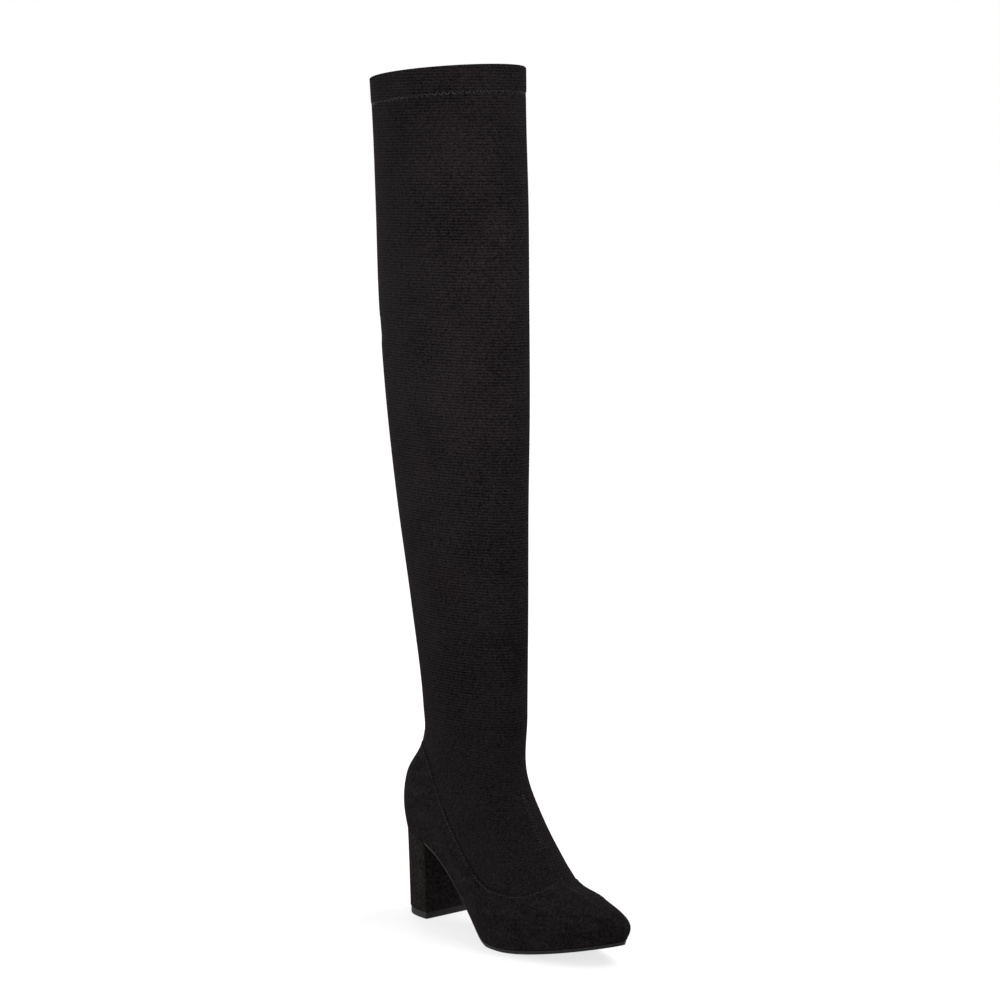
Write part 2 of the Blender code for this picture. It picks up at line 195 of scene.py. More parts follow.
FootSection = collections.namedtuple(
    "FootSection", "feather_station feather_side seam_station seam_side seam_rise"
)
FOOT_SECTIONS = (
    FootSection(0.005, 0.000, 0.083, 0.000, 1.000),
    FootSection(0.024, -0.170, 0.102, -0.168, 1.015),
    FootSection(0.086, -0.288, 0.162, -0.276, 0.975),
    FootSection(0.183, -0.320, 0.262, -0.357, 0.770),
    FootSection(0.309, -0.323, 0.358, -0.386, 0.648),
    FootSection(0.451, -0.395, 0.452, -0.390, 0.572),
    FootSection(0.584, -0.495, 0.562, -0.405, 0.567),
    FootSection(0.806, -0.341, 0.678, -0.317, 0.567),
    FootSection(0.994, 0.098, 0.729, 0.024, 0.657),
    FootSection(0.813, 0.338, 0.674, 0.354, 0.610),
    FootSection(0.605, 0.446, 0.565, 0.427, 0.577),
    FootSection(0.451, 0.335, 0.460, 0.420, 0.572),
    FootSection(0.309, 0.270, 0.360, 0.402, 0.648),
    FootSection(0.183, 0.300, 0.260, 0.366, 0.755),
    FootSection(0.086, 0.288, 0.166, 0.262, 0.925),
    FootSection(0.024, 0.170, 0.106, 0.157, 0.995),
)

ShaftRing = collections.namedtuple("ShaftRing", "height centre side depth width")
SHAFT_RINGS = (
    ShaftRing(0.000, -0.328, 0.000, 0.658, 0.557),
    ShaftRing(0.062, -0.324, 0.000, 0.664, 0.569),
    ShaftRing(0.215, -0.286, -0.008, 0.765, 0.599),
    ShaftRing(0.368, -0.242, -0.021, 0.877, 0.634),
    ShaftRing(0.517, -0.209, -0.028, 0.969, 0.668),
    ShaftRing(0.667, -0.180, -0.028, 1.000, 0.728),
    ShaftRing(0.814, -0.158, -0.016, 0.974, 0.816),
    ShaftRing(0.930, -0.132, -0.004, 0.916, 0.925),
    ShaftRing(1.000, -0.119, 0.000, 0.882, 1.000),
)

# Profiles of the sole's and top lift's edges: how far in, and a share of the thickness
EdgePoint = collections.namedtuple("EdgePoint", "inset share")
SOLE_EDGE = (
    EdgePoint(0.0011, 1.00),
    EdgePoint(0.0007, 0.985),
    EdgePoint(0.0006, 0.90),
    EdgePoint(0.0006, 0.62),
    EdgePoint(0.0009, 0.56),
    EdgePoint(0.0009, 0.50),
    EdgePoint(0.0002, 0.44),
    EdgePoint(0.0000, 0.38),
    EdgePoint(0.0000, 0.10),
    EdgePoint(0.0003, 0.02),
    EdgePoint(0.0008, 0.00),
)
LIFT_EDGE = (
    EdgePoint(0.0005, 0.00),
    EdgePoint(0.00015, 0.03),
    EdgePoint(0.0000, 0.10),
    EdgePoint(0.0000, 0.92),
    EdgePoint(0.0003, 1.00),
)

# Where the back seam runs: height above the floor, and how far round from the middle of the back
SeamPoint = collections.namedtuple("SeamPoint", "height turn")
BACK_SEAM = (
    SeamPoint(0.095, 0.008),
    SeamPoint(0.115, 0.007),
    SeamPoint(0.128, 0.005),
    SeamPoint(0.150, 0.016),
    SeamPoint(0.300, 0.025),
    SeamPoint(0.471, 0.022),
    SeamPoint(0.499, 0.018),
    SeamPoint(0.554, 0.009),
    SeamPoint(0.600, -0.002),
    SeamPoint(0.680, -0.006),
)

# Turns of the front seam on the instep, and of the toe's ridge at the foot seam and the tip
FRONT_LINE = 0.497
TOE_RIDGE_SEAM, TOE_RIDGE_TIP = 0.494, 0.486

# Soft folds pressed into the leg, from one end to the other; a ridge is a share of its trough's depth
Fold = collections.namedtuple("Fold", "turn height end_turn end_height width depth ridge")
FOLDS = (
    Fold(0.040, 0.470, 0.330, 0.476, 0.0060, 0.0010, -0.6),
    Fold(0.120, 0.458, 0.300, 0.461, 0.0080, 0.0006, 0.4),
    Fold(-0.009, 0.604, -0.010, 0.588, 0.0011, 0.0009, 0.4),
    Fold(0.430, 0.118, 0.560, 0.122, 0.0060, 0.0005, 0.5),
    Fold(0.400, 0.132, 0.530, 0.137, 0.0070, 0.0004, 0.5),
    Fold(0.100, 0.165, 0.230, 0.152, 0.0060, 0.0005, 0.5),
    Fold(0.770, 0.160, 0.900, 0.172, 0.0060, 0.0006, 0.5),
    Fold(0.930, 0.186, 1.060, 0.180, 0.0070, 0.0004, 0.5),
    Fold(0.700, 0.470, 0.900, 0.478, 0.0070, 0.0008, 0.5),
)


def smooth(share):
    share = np.clip(share, 0, 1)
    return share * share * (3 - 2 * share)


def unit(vectors):
    return vectors / np.linalg.norm(vectors, axis=-1, keepdims=True)


def station_y(station):
    return HEEL_SET_BACK - station * FOOT_LENGTH


def station_of(y):
    return (HEEL_SET_BACK - y) / FOOT_LENGTH


def breast_y():
    return -HEEL_DEPTH / 2


def bottom(y):
    """Height of the foot panel's underside: a sloping seat, a waist, a flat tread and the toe spring."""
    y = np.asarray(y, float)
    tread = SOLE_THICKNESS + FIT
    start, end = breast_y(), station_y(SOLE.tread_start)
    seat_length = station_y(0) - start
    ahead = np.clip((station_y(0) - y) / seat_length, 0, 1)
    seat = HEEL_HEIGHT - seat_length * (SEAT_SLOPE * ahead + (BREAST_SLOPE - SEAT_SLOPE) * ahead**2 / 2)
    fall = HEEL_HEIGHT - seat_length * (SEAT_SLOPE + BREAST_SLOPE) / 2
    t = np.clip((start - y) / (start - end), 0, 1)
    leaving = -BREAST_SLOPE * (start - end)
    waist = (
        (2 * t**3 - 3 * t**2 + 1) * fall
        + (t**3 - 2 * t**2 + t) * leaving
        + (3 * t**2 - 2 * t**3) * tread
    )
    past = np.clip((station_of(y) - SOLE.tread_end) / (1 - SOLE.tread_end), 0, None)
    return np.where(y > start, seat, waist + TOE_SPRING * past**TOE_CURVE)


def closed_spline(keys, turns):
    keys = np.asarray(keys, float)
    count = len(keys)
    ahead, behind = np.roll(keys, -1, 0), np.roll(keys, 1, 0)
    matrix = 4 * np.eye(count) + np.roll(np.eye(count), 1, 0) + np.roll(np.eye(count), -1, 0)
    bends = np.linalg.solve(matrix, 6 * (ahead - 2 * keys + behind))
    place = np.mod(turns, 1) * count
    first = np.floor(place).astype(int) % count
    second = (first + 1) % count
    t = (place - np.floor(place))[:, None]
    s = 1 - t
    return (
        s * keys[first]
        + t * keys[second]
        + ((s**3 - s) * bends[first] + (t**3 - t) * bends[second]) / 6
    )


def around():
    return np.arange(COLUMNS) / COLUMNS


def outline(turns, inset=0.0):
    """The feather line seen from above, moved towards the foot's middle by the inset."""
    keys = [
        (section.feather_side * BALL_WIDTH, station_y(section.feather_station))
        for section in FOOT_SECTIONS
    ]
    edge = closed_spline(keys, turns)
    return edge + inset * inward(edge)


def inward(edge):
    start = np.array((0.0, station_y(SPINE.start)))
    end = np.array((SPINE.end_side * BALL_WIDTH, station_y(SPINE.end)))
    along = np.clip((edge - start) @ (end - start) / ((end - start) @ (end - start)), 0, 1)
    way = start + along[:, None] * (end - start) - edge
    return way / np.linalg.norm(way, axis=1)[:, None]


def raised(plan, rise=0.0):
    return np.column_stack((plan, bottom(plan[:, 1]) + rise))


def foot_levels():
    turns = around()
    feather = raised(outline(turns), FEATHER_EDGE)
    out = np.column_stack((-inward(outline(turns)), np.zeros(COLUMNS)))
    up = np.array((0.0, 0.0, 1.0))
    share = station_of(feather[:, 1])[:, None]
    rise = HEEL_GIRTH_RISE + (TOE_GIRTH_RISE - HEEL_GIRTH_RISE) * share
    girth = feather + GIRTH_BULGE * out + rise * up
    keys = [
        (section.seam_side * BALL_WIDTH, station_y(section.seam_station), section.seam_rise)
        for section in FOOT_SECTIONS
    ]
    seam = closed_spline(keys, turns)
    seam[:, 2] = bottom(seam[:, 1]) + seam[:, 2] * COUNTER_HEIGHT
    chord = seam - girth
    along = unit(chord)
    lean = out + up
    bulge = unit(lean - (lean * along).sum(1)[:, None] * along)
    fullness = COUNTER_FULLNESS + (VAMP_FULLNESS - COUNTER_FULLNESS) * smooth(2 * share - 1)
    crown = (girth + seam) / 2 + fullness * np.linalg.norm(chord, axis=1)[:, None] * bulge
    return [feather, girth, crown, seam]


def shaft_ring(ring):
    angle = 2 * math.pi * around()
    leg = BOOT_HEIGHT - ANKLE_HEIGHT
    x = ring.side * SHAFT_WIDTH - ring.width * SHAFT_WIDTH / 2 * np.sin(angle)
    y = ring.centre * SHAFT_DEPTH + ring.depth * SHAFT_DEPTH / 2 * np.cos(angle)
    z = ANKLE_HEIGHT + ring.height * leg + np.zeros(COLUMNS)
    if ring.height == 0:
        z = z + ANKLE_TILT * np.cos(angle)
    if ring.height == 1:
        z = z - math.tan(RIM_TILT) * (y - ring.centre * SHAFT_DEPTH)
    return np.column_stack((x, y, z))


def skin_levels():
    foot = foot_levels()
    rings = [shaft_ring(ring) for ring in SHAFT_RINGS]
    angle = 2 * math.pi * around()[:, None]
    front = (1 - np.cos(angle)) / 2
    hollow = np.array(HOLLOW_WAY) * INSTEP_HOLLOW * front**2
    between = [foot[-1] + share * (rings[0] - foot[-1]) + hollow for share in (1 / 3, 2 / 3)]
    fall = np.array((1.0, 0.0, 0.0)) * INSTEP_FALL * front * np.clip(np.sin(angle), 0, None)
    for level, share in zip((*between, rings[0]), INSTEP_FALL_SHARES):
        level += share * fall
    return foot, between + rings


def flow(levels, splits):
    """Rows of a smooth surface through the levels, with this many steps from each to the next."""
    points = np.stack(levels)
    steps = np.diff(points, axis=0)
    lengths = np.linalg.norm(steps, axis=2, keepdims=True)
    slopes = steps / lengths
    inner = (lengths[1:] * slopes[:-1] + lengths[:-1] * slopes[1:]) / (lengths[1:] + lengths[:-1])
    first = 1.5 * slopes[:1] - 0.5 * inner[:1]
    last = 1.5 * slopes[-1:] - 0.5 * inner[-1:]
    tangents = np.concatenate((first, inner, last))
    rows = []
    for index, count in enumerate(splits):
        for t in np.arange(count) / count:
            rows.append(
                (2 * t**3 - 3 * t**2 + 1) * points[index]
                + (t**3 - 2 * t**2 + t) * lengths[index] * tangents[index]
                + (3 * t**2 - 2 * t**3) * points[index + 1]
                + (t**3 - t**2) * lengths[index] * tangents[index + 1]
            )
    rows.append(points[-1])
    return np.stack(rows)


def outward_normals(rows):
    round_way = np.roll(rows, -1, 1) - np.roll(rows, 1, 1)
    return unit(np.cross(round_way, np.gradient(rows, axis=0)))


def run_up(rows):
    """How far each point is from the first row, along its own column."""
    steps = np.linalg.norm(np.diff(rows, axis=0), axis=2)
    return np.concatenate((np.zeros((1, rows.shape[1])), np.cumsum(steps, axis=0)))


def turns_apart(turns, line):
    """Signed share of a turn from a line to each column, the short way round."""
    return (turns - line + 0.5) % 1 - 0.5


def girth_of(rows):
    return np.linalg.norm(np.roll(rows, -1, 1) - rows, axis=2).sum(1)[:, None]


def back_seam_offset(rows):
    """Distance round the leg from the back seam."""
    heights = [point.height for point in BACK_SEAM]
    line = np.interp(rows[..., 2], heights, [point.turn for point in BACK_SEAM])
    return turns_apart(around()[None, :], line) * girth_of(rows)


def toe_ridge(share):
    """Turn of the toe's ridge at a share of the way from the feather to the foot seam."""
    return TOE_RIDGE_TIP + (TOE_RIDGE_SEAM - TOE_RIDGE_TIP) * share


def front_offset(rows, line=FRONT_LINE):
    return turns_apart(around()[None, :], line) * girth_of(rows)


def bump(distance, width):
    return np.exp(-((distance / width) ** 2))


def fold_relief(rows):
    turns = around()[None, :] + np.zeros(rows.shape[:2])
    girth = girth_of(rows)
    relief = np.zeros(rows.shape[:2])
    for fold in FOLDS:
        middle = (fold.turn + fold.end_turn) / 2
        across = turns_apart(turns, middle) * girth
        start = np.stack(((fold.turn - middle) * girth + 0 * across, fold.height + 0 * across))
        end = np.stack(((fold.end_turn - middle) * girth + 0 * across, fold.end_height + 0 * across))
        way = end - start
        length = np.hypot(*way)
        offset = np.stack((across, rows[..., 2])) - start
        along = (offset * way).sum(0) / length**2
        beside = (offset[1] * way[0] - offset[0] * way[1]) / length
        ends = smooth(along * 4) * smooth((1 - along) * 4)
        trough = bump(beside, fold.width)
        ridge = bump(beside - 1.7 * fold.width, 0.9 * fold.width)
        relief += ends * fold.depth * (fold.ridge * ridge - trough)
    return relief


def seam_ridge(offset, half, height):
    """A pressed-open seam: a low flat ridge with a fine groove along its middle."""
    ridge = smooth((half - np.abs(offset)) / (0.4 * half))
    return height * ridge - 1.1 * height * bump(offset, 0.22 * half)


def leg_surface(rows, normals, seam):
    """Rows of the shaft's outside from the foot seam to the rim, with its seams, hem and folds."""
    leg, out = rows[seam:], normals[seam:]
    up = run_up(leg)
    down = up[-1] - up
    relief = -SHAFT_SINK_SHARE * SEAM_STEP * (1 - smooth(up / SEAM_BLEND))
    relief += HEM_PROUD * smooth((HEM_HEIGHT - down) / HEM_FADE)
    relief -= HEM_DENT * bump(down - HEM_HEIGHT, HEM_DENT_WIDTH)
    back = seam_ridge(back_seam_offset(leg), BACK_SEAM_HALF, BACK_SEAM_RISE)
    relief += back * smooth(down / 0.004)
    fade = smooth((FRONT_RIDGE_TOP - leg[..., 2]) / FRONT_RIDGE_FADE)
    relief += fade * FRONT_RIDGE_RISE * np.exp(-np.abs(front_offset(leg)) / FRONT_RIDGE_WIDTH)
    relief += fold_relief(leg)
    return leg + relief[..., None] * out, out


def panel_surface(rows, normals, seam):
    """Rows of the foot panel's outside, from the feather to the seam, with the toe's ridge."""
    panel, out = rows[: seam + 1], normals[: seam + 1]
    up = run_up(panel)
    down = up[-1] - up
    share = up / up[-1]
    ridge = np.exp(-np.abs(front_offset(panel, toe_ridge(share))) / TOE_RIDGE_WIDTH)
    relief = TOE_RIDGE_RISE * ridge * smooth(share * 3)
    relief += LIP_RISE * bump(down - LIP_IN, LIP_WIDTH)
    counter = smooth((panel[..., 1] + 0.03) / 0.02) * smooth(share * 5)
    relief += seam_ridge(back_seam_offset(panel), COUNTER_SEAM_HALF, COUNTER_SEAM_RISE) * counter
    relief -= SEAM_DENT * bump(down - SEAM_STITCH_IN, SEAM_DENT_WIDTH)
    return panel + relief[..., None] * out, out


def rounded_edge(centre, out, way, radius, steps=EDGE_STEPS, fullness=1.0):
    """Rows over an edge of a wall, from its outside to its inside; a low fullness leaves tight corners."""
    rows = []
    for a in np.linspace(0, math.pi, steps + 1):
        side = np.sign(math.cos(a)) * abs(math.cos(a)) ** fullness
        rows.append(centre + radius * (side * out + math.sin(a) ** fullness * way))
    return rows


def grid_faces(rows, columns):
    faces = []
    for row in range(rows - 1):
        for k in range(columns):
            after = (k + 1) % columns
            low, high = row * columns, (row + 1) * columns
            faces.append((low + k, low + after, high + after, high + k))
    return faces


def level_ribs(grid):
    """Heights of the cloth's ribs: level up the leg, and evenly spaced down over the ankle and instep."""
    along = run_up(grid)
    height = grid[..., 2].copy()
    for k in range(grid.shape[1]):
        first = int(np.argmax(height[:, k] > LEVEL_RIBS_FROM))
        height[:first, k] = LEVEL_RIBS_FROM - (along[first, k] - along[:first, k])
    return height


def cloth_map(mesh, loops, columns, level=False):
    """A UV map in metres of cloth: round the leg, and up it."""
    grid = np.stack(loops)
    along = level_ribs(grid) if level else run_up(grid)
    girth = girth_of(grid).max()
    layer = mesh.uv_layers.new(name="cloth")
    corner = np.empty(len(mesh.loops), np.int32)
    mesh.loops.foreach_get("vertex_index", corner)
    row, column = np.divmod(corner, columns)
    first = np.empty(len(mesh.polygons), np.int32)
    mesh.polygons.foreach_get("loop_start", first)
    wraps = np.zeros(len(corner))
    face_of = np.searchsorted(first, np.arange(len(corner)), side="right") - 1
    on_last = np.zeros(len(first), bool)
    np.logical_or.at(on_last, face_of, column == columns - 1)
    wraps[(column == 0) & on_last[face_of]] = 1
    row = np.minimum(row, len(loops) - 1)
    u = (column / columns + wraps) * girth
    layer.data.foreach_set("uv", np.column_stack((u, along[row, column])).ravel())


def add_mesh(name, points, faces, finishes, face_finish=None):
    mesh = bpy.data.meshes.new(name)
    mesh.from_pydata(np.asarray(points).tolist(), [], faces)
    for finish in finishes:
        mesh.materials.append(finish)
    if face_finish is not None:
        mesh.polygons.foreach_set("material_index", np.asarray(face_finish, np.int32))
    mesh.shade_smooth()
    mesh.update()
    piece = bpy.data.objects.new(name, mesh)
    bpy.context.scene.collection.objects.link(piece)
    return piece


def place(piece, node):
    """The piece stands for this node of the solid model, whose own shape is hidden."""
    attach(piece, "root")
    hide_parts(node)
    return piece


def add_tube(name, outer, edge, inner, outside, lining, level=False):
    """A hollow piece from rows of its outside, over an edge and back down its inside, with no open end."""
    loops = list(outer) + list(edge) + list(inner)[::-1]
    faces = grid_faces(len(loops), COLUMNS)
    last = (len(loops) - 1) * COLUMNS
    for k in range(COLUMNS):
        after = (k + 1) % COLUMNS
        faces.append((last + k, last + after, after, k))
    row_finish = [0 if row < len(outer) + len(edge) else 1 for row in range(len(loops))]
    face_finish = np.repeat(row_finish, COLUMNS)
    piece = add_mesh(name, np.concatenate(loops), faces, (outside, lining), face_finish)
    cloth_map(piece.data, loops, COLUMNS, level)
    return piece


def make_panel(rows, normals, seam, outside, lining):
    panel, out = panel_surface(rows, normals, seam)
    turns = around()
    way = unit(rows[seam + 1] - rows[seam - 1])
    turn_in = [
        raised(
            outline(turns, FEATHER_EDGE * (1 - math.cos(a))),
            FEATHER_EDGE * (1 - math.sin(a)),
        )
        for a in np.linspace(math.pi / 2, 0, 5)[:-1]
    ]
    outer = [raised(outline(turns, LASTED_MARGIN)), *turn_in]
    radius = PANEL_WALL / 2
    kept = run_up(panel)[-1] - run_up(panel)
    outer += [row for row, left in zip(panel, kept.min(1)) if left > 1.2 * radius]
    centre = panel[-1] - (FIT / 2 + radius) * way - radius * out[-1]
    edge = rounded_edge(centre, out[-1], way, radius, fullness=SEAM_EDGE_FULLNESS)
    inner = [
        raised(outline(turns, LASTED_MARGIN), PANEL_WALL),
        raised(outline(turns, PANEL_WALL + FEATHER_EDGE), PANEL_WALL),
        raised(outline(turns, PANEL_WALL), PANEL_WALL + FEATHER_EDGE / 2),
    ]
    inner += list((rows[: seam + 1] - PANEL_WALL * normals[: seam + 1])[2 : seam - 2 : LINING_STEP])
    piece = add_tube("foot_panel", outer, edge, inner, outside, lining)
    place(piece, "upper")
    return panel, out


def make_leg(rows, normals, seam, outside, lining):
    leg, out = leg_surface(rows, normals, seam)
    way = unit(rows[seam + 1] - rows[seam - 1])
    start = leg[0] + FIT / 2 * way
    radius = SHAFT_WALL / 2
    foot_edge = rounded_edge(
        start + radius * way - radius * out[0], out[0], -way, radius, fullness=SEAM_EDGE_FULLNESS
    )[::-1]
    up = run_up(leg)
    outer = foot_edge[1:] + [row for row, far in zip(leg, up.min(1)) if far > 1.5 * radius + FIT]
    folded = SHAFT_WALL + HEM_FOLD + HEM_PROUD
    rim_way = unit(leg[-1] - leg[-3])
    outer = outer[:-1]
    centre = leg[-1] - folded / 2 * out[-1] - folded / 2 * rim_way
    edge = rounded_edge(centre, out[-1], rim_way, folded / 2, 8)
    down = up[-1] - up
    inner = []
    for row in range(4, len(leg) - 2, LINING_STEP):
        under = np.where(down[row] < HEM_HEIGHT, folded, SHAFT_WALL)[:, None]
        inner.append(leg[row] - under * out[row])
    piece = add_tube("stretch_shaft", outer, edge, inner, outside, lining, level=True)
    place(piece, "shaft")
    return leg, out


def cap_faces(start, count, ends_at_breast=False):
    """Strips across a ring from each point to its opposite, so that the cap follows the foot's curve."""
    last = count - 1 if ends_at_breast else count
    faces = []
    for k in range((last + 1) // 2):
        strip = [start + point % count for point in (k, k + 1, last - k - 1, last - k)]
        strip = tuple(dict.fromkeys(strip))
        if len(strip) > 2:
            faces.append(strip)
    return faces


def turned(faces):
    return [face[::-1] for face in faces]


def solid_faces(rows, count, ends_at_breast=False):
    faces = turned(cap_faces(0, count, ends_at_breast))
    faces += grid_faces(rows, count)
    return faces + cap_faces((rows - 1) * count, count, ends_at_breast)


def add_block(name, loops, finish, clockwise=False, ends_at_breast=True):
    faces = solid_faces(len(loops), len(loops[0]), ends_at_breast)
    if clockwise:
        faces = turned(faces)
    piece = add_mesh(name, np.concatenate(loops), faces, (finish,))
    piece.data.set_sharp_from_angle(angle=math.radians(50))
    cloth_map(piece.data, loops, len(loops[0]))
    return piece


def toe_turn():
    turns = np.linspace(0.45, 0.55, 401)
    return turns[np.argmin(outline(turns)[:, 1])]


def turn_at(y, side):
    turns = np.linspace(0, toe_turn(), 400) if side > 0 else np.linspace(1, toe_turn(), 400)
    return np.interp(-np.asarray(y), -outline(turns)[:, 1], turns)


def sole_plan(inset):
    """The sole's outline from the breast round the toe and back, with points in pairs across it."""
    start, end = station_y(SOLE.tread_start), station_y(SOLE.tread_end)
    toe = outline(np.array([toe_turn()]))[0, 1]
    rounding = np.sin(np.linspace(0, math.pi / 2, 46))
    stations = np.concatenate(
        (
            np.linspace(breast_y() - FIT, start, 49),
            np.linspace(start, end, 9)[1:],
            (end + (toe - end) * rounding)[1:],
        )
    )
    turns = np.concatenate((turn_at(stations, 1), turn_at(stations[-2::-1], -1)))
    plan = outline(turns, inset)
    plan[:, 1] = np.minimum(plan[:, 1], breast_y() - FIT)
    return plan


def make_sole(finish):
    """The sole with a rounded lower edge and a fine line along the middle of its edge."""
    loops = []
    for inset, share in SOLE_EDGE:
        plan = sole_plan(SOLE_INSET + inset)
        thin = 1 - smooth((station_of(plan[:, 1]) - SOLE.shank_end) / SOLE.shank_fade)
        thickness = SOLE_THICKNESS + (SHANK_THICKNESS - SOLE_THICKNESS) * thin
        loops.append(raised(plan, -FIT - share * thickness))
    return place(add_block("sole", loops, finish), "outsole")


def softened(ring, radius):
    def corner(point, after, before):
        along = point + radius * unit(after - point)
        across = point + radius * unit(before - point)
        steps = np.linspace(0, 1, 7)
        return [(1 - t) ** 2 * across + 2 * t * (1 - t) * point + t**2 * along for t in steps]

    start = corner(ring[0], ring[1], ring[-1])
    end = corner(ring[-1], ring[0], ring[-2])
    return np.array(start + list(ring[1:-1]) + end)


def heel_seat():
    turns = np.linspace(turn_at(breast_y(), 1), turn_at(breast_y(), -1) - 1, HEEL_POINTS)
    plan = outline(turns, HEEL_INSET)
    plan[:, 1] = np.maximum(plan[:, 1], breast_y())
    return softened(plan, HEEL_CORNER)


def heel_foot(inset=0.0):
    angle = np.linspace(math.pi / 2, -math.pi / 2, HEEL_POINTS)
    across = np.sign(np.sin(angle)) * np.abs(np.sin(angle)) ** (2 / HEEL_SQUARENESS)
    back = np.abs(np.cos(angle)) ** (2 / HEEL_SQUARENESS)
    half, depth = HEEL_WIDTH / 2 - inset, HEEL_DEPTH - 2 * inset
    plan = np.column_stack((-half * across, breast_y() + inset + depth * back))
    return softened(plan, HEEL_CORNER)


def make_heel(finish):
    """The covered block, flaring to the seat, its cover turned under at the bottom."""
    low, top = heel_foot(), heel_seat()
    tucked = heel_foot(HEEL_TUCK)
    base = TOP_LIFT_THICKNESS + FIT
    height = bottom(top[:, 1]) - FIT
    loops = [np.column_stack((tucked, np.full(len(low), base)))]
    for t in np.concatenate(((0.006, 0.014), np.linspace(0.03, 0.95, 34), (0.975, 0.99, 1))):
        flare = t + HEEL_FLARE_SHARE * (t**HEEL_FLARE_POWER - t)
        plan = low + flare * (top - low)
        loops.append(np.column_stack((plan, base + t * (height - base))))
    return place(add_block("covered_heel", loops, finish, clockwise=True), "heel")


def make_top_lift(finish):
    loops = []
    for inset, share in LIFT_EDGE:
        plan = heel_foot(TOP_LIFT_INSET + inset)
        loops.append(np.column_stack((plan, np.full(len(plan), share * TOP_LIFT_THICKNESS))))
    return place(add_block("heel_top_lift", loops, finish, clockwise=True), "top_lift")


def make_sock(finish):
    """The padded insole inside, on the lasted margin."""
    turns = around()
    edge = PANEL_WALL + FEATHER_EDGE
    under = PANEL_WALL + FIT
    loops = [
        raised(outline(turns, LASTED_MARGIN + FIT), FIT / 2),
        raised(outline(turns, LASTED_MARGIN + FIT), under),
        raised(outline(turns, edge), under),
    ]
    for a in np.linspace(0, math.pi / 2, 6):
        inset = edge + INSOLE_ROUNDING * (1 - math.cos(a))
        top = under + INSOLE_THICKNESS - INSOLE_ROUNDING * (1 - math.sin(a))
        loops.append(raised(outline(turns, inset), top))
    return place(add_block("sock_lining", loops, finish, ends_at_breast=False), "insole")


class Surface:
    """A grid of points and normals that stitches are laid on."""

    def __init__(self, points, normals):
        self.points, self.normals = points, normals
        self.up = run_up(points)
        self.columns = points.shape[1]

    def at(self, turn, row):
        """Point and normal at a share of a turn and a row number, both between grid lines."""
        column = (np.asarray(turn) % 1) * self.columns
        first = np.floor(column).astype(int) % self.columns
        second = (first + 1) % self.columns
        t = (column - np.floor(column))[:, None]
        low = np.clip(np.floor(row).astype(int), 0, len(self.points) - 2)
        s = (row - low)[:, None]

        def read(grid):
            one = grid[low, first] * (1 - t) + grid[low, second] * t
            two = grid[low + 1, first] * (1 - t) + grid[low + 1, second] * t
            return one * (1 - s) + two * s

        return read(self.points), unit(read(self.normals))

    def column(self, turn):
        return np.round(np.asarray(turn) * self.columns).astype(int) % self.columns

    def full_length(self, turn):
        """How far the column nearest each turn runs, from the first row to the last."""
        return self.up[-1, self.column(turn)]

    def row_where(self, grid, turn, values):
        """The row number where the column nearest each turn reaches this value of the grid."""
        count = np.arange(len(grid))
        return np.array([np.interp(v, grid[:, k], count) for k, v in zip(self.column(turn), values)])

    def row_at(self, turn, up):
        return self.row_where(self.up, turn, up)

    def row_at_height(self, turn, height):
        return self.row_where(self.points[..., 2], turn, height)


def even_path(points, normals, pitch):
    """Points and normals at even steps along a path."""
    far = np.concatenate(((0,), np.cumsum(np.linalg.norm(np.diff(points, axis=0), axis=1))))
    count = max(2, int(round(far[-1] / pitch)))
    marks = np.linspace(0, far[-1], count + 1)
    place_at = np.column_stack([np.interp(marks, far, points[:, k]) for k in range(3)])
    facing = np.column_stack([np.interp(marks, far, normals[:, k]) for k in range(3)])
    return place_at, unit(facing)


def straight_stitches(points, normals, pitch, share):
    """Middle, direction and facing of each stitch of a row, with gaps between them."""
    path, facing = even_path(points, normals, pitch)
    way = path[1:] - path[:-1]
    return (path[1:] + path[:-1]) / 2, share * way, unit(facing[1:] + facing[:-1])


def zigzag_stitches(points, normals, across, pitch, half):
    """Stitches that swing from one side of the path to the other."""
    path, facing = even_path(points, normals, pitch)
    side = unit(np.cross(facing, np.gradient(path, axis=0)))
    side *= np.sign((side * across).sum(1))[:, None]
    swing = np.where(np.arange(len(path)) % 2, half, -half)[:, None]
    path = path + swing * side
    way = path[1:] - path[:-1]
    return (path[1:] + path[:-1]) / 2, 0.94 * way, unit(facing[1:] + facing[:-1])


